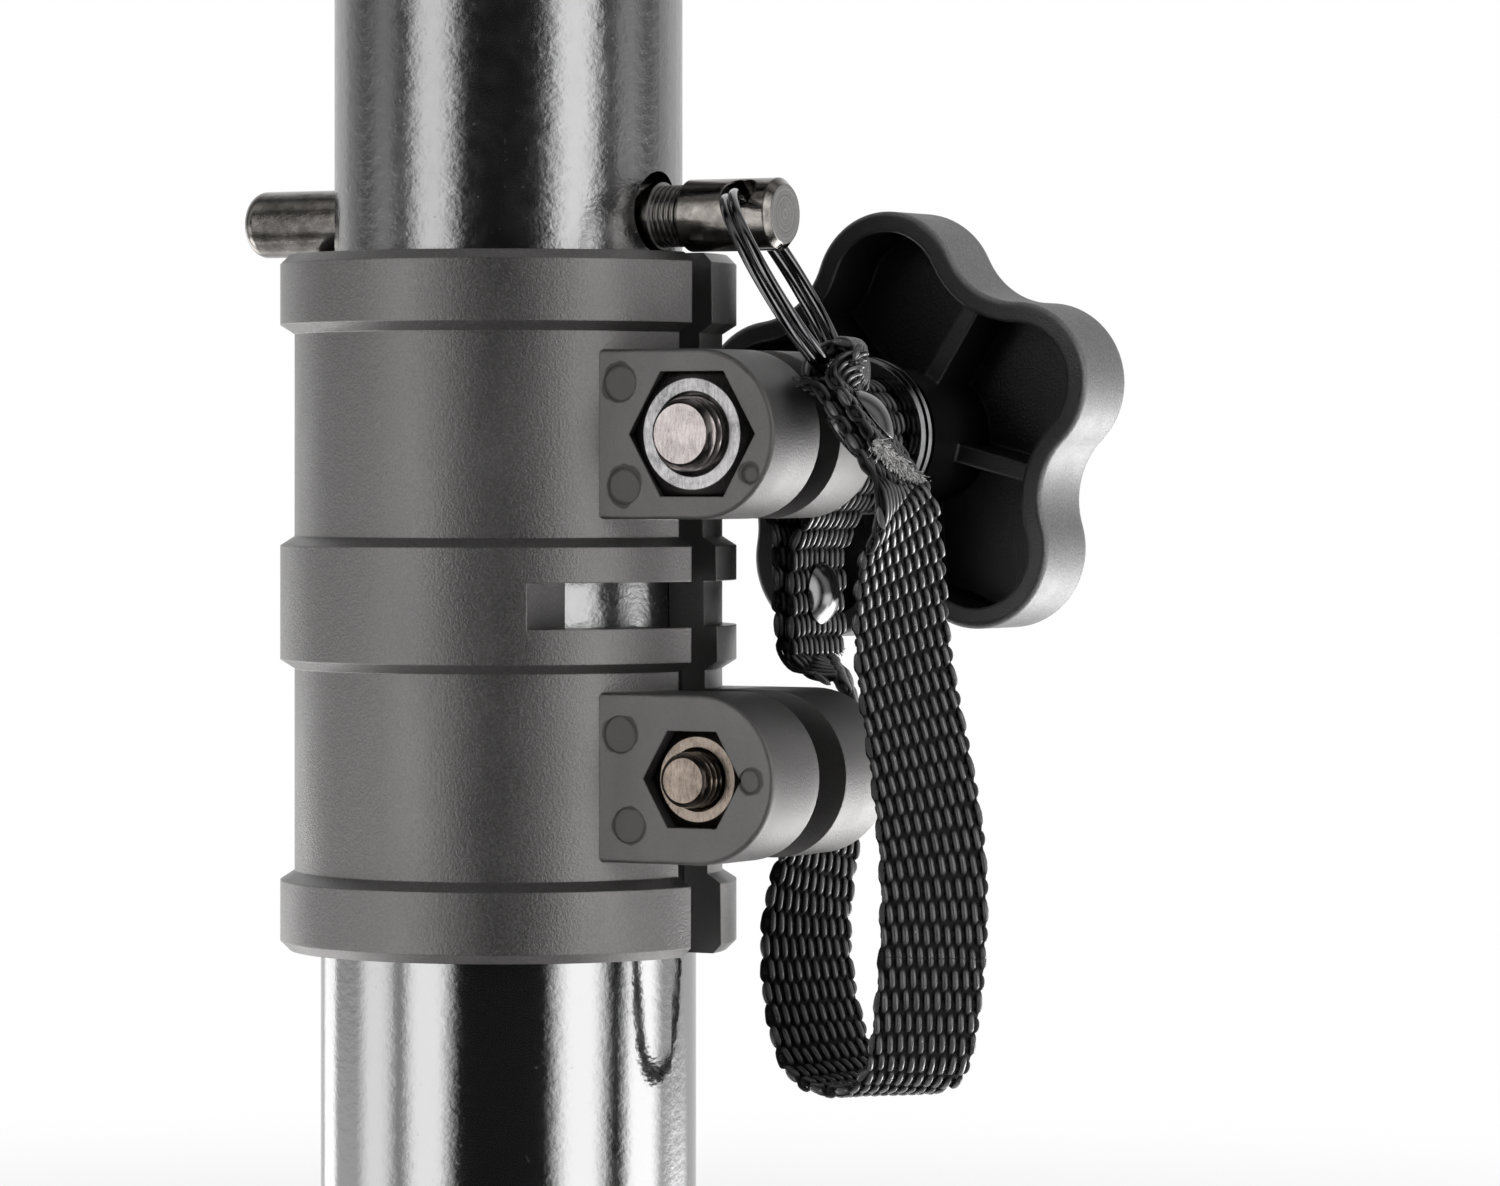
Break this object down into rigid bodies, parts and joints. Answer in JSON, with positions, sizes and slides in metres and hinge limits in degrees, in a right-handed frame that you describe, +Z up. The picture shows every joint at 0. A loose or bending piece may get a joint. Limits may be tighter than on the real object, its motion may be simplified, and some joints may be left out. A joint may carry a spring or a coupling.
{
  "type": "telescoping mast clamp",
  "caption": "Height clamp of a stand's telescoping mast: a split sleeve on two tubes, tightened by a star knob, with a lock pin on a webbing tether.",
  "frame": {"origin": "centre of the outer tube's lower end, on the mast's axis", "axes": "+Z up the mast; +X out of the sleeve's slit and along the lock pin to its ring; +Y along the screws from the nuts to the knob"},
  "size_m": [0.0872, 0.0684, 0.1676],
  "materials": {
    "tube_black": "gloss",
    "plug_black": "matte",
    "sleeve_grey": "fine grained, satin",
    "zinc": "bright zinc",
    "dark_zinc": "dark passivated zinc",
    "black_steel": "gloss",
    "knob_black": "satin",
    "pin_bronze": "dark nickel, finely scratched",
    "webbing": "woven nylon"
  },
  "bodies": {
    "clamp": {"outer_tube": "tube_black", "clamp_sleeve": "sleeve_grey", "clamp_nut": "zinc", "strap_bush": "zinc", "lower_screw": "dark_zinc", "lower_nut": "dark_zinc", "strap_rear": "webbing", "rear_rivet": "black_steel", "rear_rivet_cap": "black_steel"},
    "upper_tube": {"inner_tube": "tube_black", "guide_plug": "plug_black"},
    "pin": {"lock_pin": "pin_bronze", "split_ring": "black_steel", "strap_front": "webbing", "front_rivet": "black_steel", "front_rivet_cap": "black_steel"},
    "washers": {"inner_washer": "black_steel", "outer_washer": "black_steel"},
    "knob": {"star_knob": "knob_black", "knob_stud": "zinc"}
  },
  "joints": [
    {"name": "tube_slide", "type": "slide", "parent": "clamp", "child": "upper_tube", "axis": [0, 0, 1], "range_m": [0, 0.03], "deforming": ["strap_front"]},
    {"name": "pin_pull", "type": "slide", "parent": "upper_tube", "child": "pin", "axis": [1, 0, 0], "range_m": [0, 0.055], "deforming": ["strap_front"]},
    {"name": "knob_travel", "type": "slide", "parent": "clamp", "child": "washers", "axis": [0, 1, 0], "range_m": [0, 0.00375]},
    {"name": "knob_turn", "type": "hinge", "parent": "washers", "child": "knob", "pos_m": [0.0305, 0, 0.102], "axis": [0, 1, 0], "range_deg": [0, 1080.1]}
  ],
  "couplings": [
    {"joint": "knob_turn", "follows": "knob_travel", "rad_per_m": 5026.5}
  ]
}
